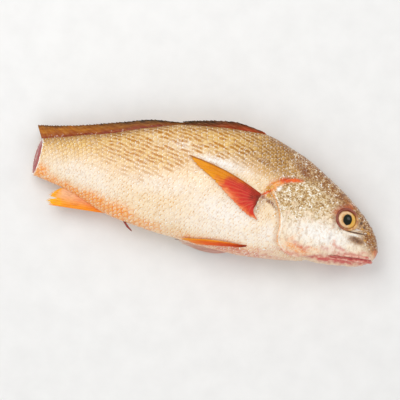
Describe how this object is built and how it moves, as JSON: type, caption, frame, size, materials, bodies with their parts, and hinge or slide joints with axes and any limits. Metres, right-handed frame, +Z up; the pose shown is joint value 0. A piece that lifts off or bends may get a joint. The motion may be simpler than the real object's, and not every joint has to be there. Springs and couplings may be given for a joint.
{
  "type": "whole raw fish without its tail fin",
  "caption": "Whole raw fish lying flat on its left side, with its scales, head and fins on and its tail fin cut off, as sold for cooking.",
  "frame": {"origin": "on the surface that the fish lies on, below the middle of its outline", "axes": "+X from the tail cut towards the snout, +Y from the belly to the back, +Z up, out of the right flank"},
  "size_m": [0.2626, 0.097, 0.0428],
  "materials": {
    "skin": "wet, scaled",
    "eye": "polished",
    "dorsal_fins": "wet, thin, ribbed",
    "red_fins": "wet, thin, ribbed",
    "orange_fins": "wet, thin, ribbed"
  },
  "bodies": {
    "root": {"body": "skin", "eye_right": "eye", "eye_left": "eye", "dorsal_fin_spiny": "dorsal_fins", "dorsal_fin_soft": "dorsal_fins", "pectoral_fin_right": "red_fins", "pectoral_fin_left": "red_fins", "pelvic_fin_right": "orange_fins", "pelvic_fin_left": "orange_fins", "anal_fin": "orange_fins", "vent_papilla": "red_fins"}
  },
  "joints": []
}
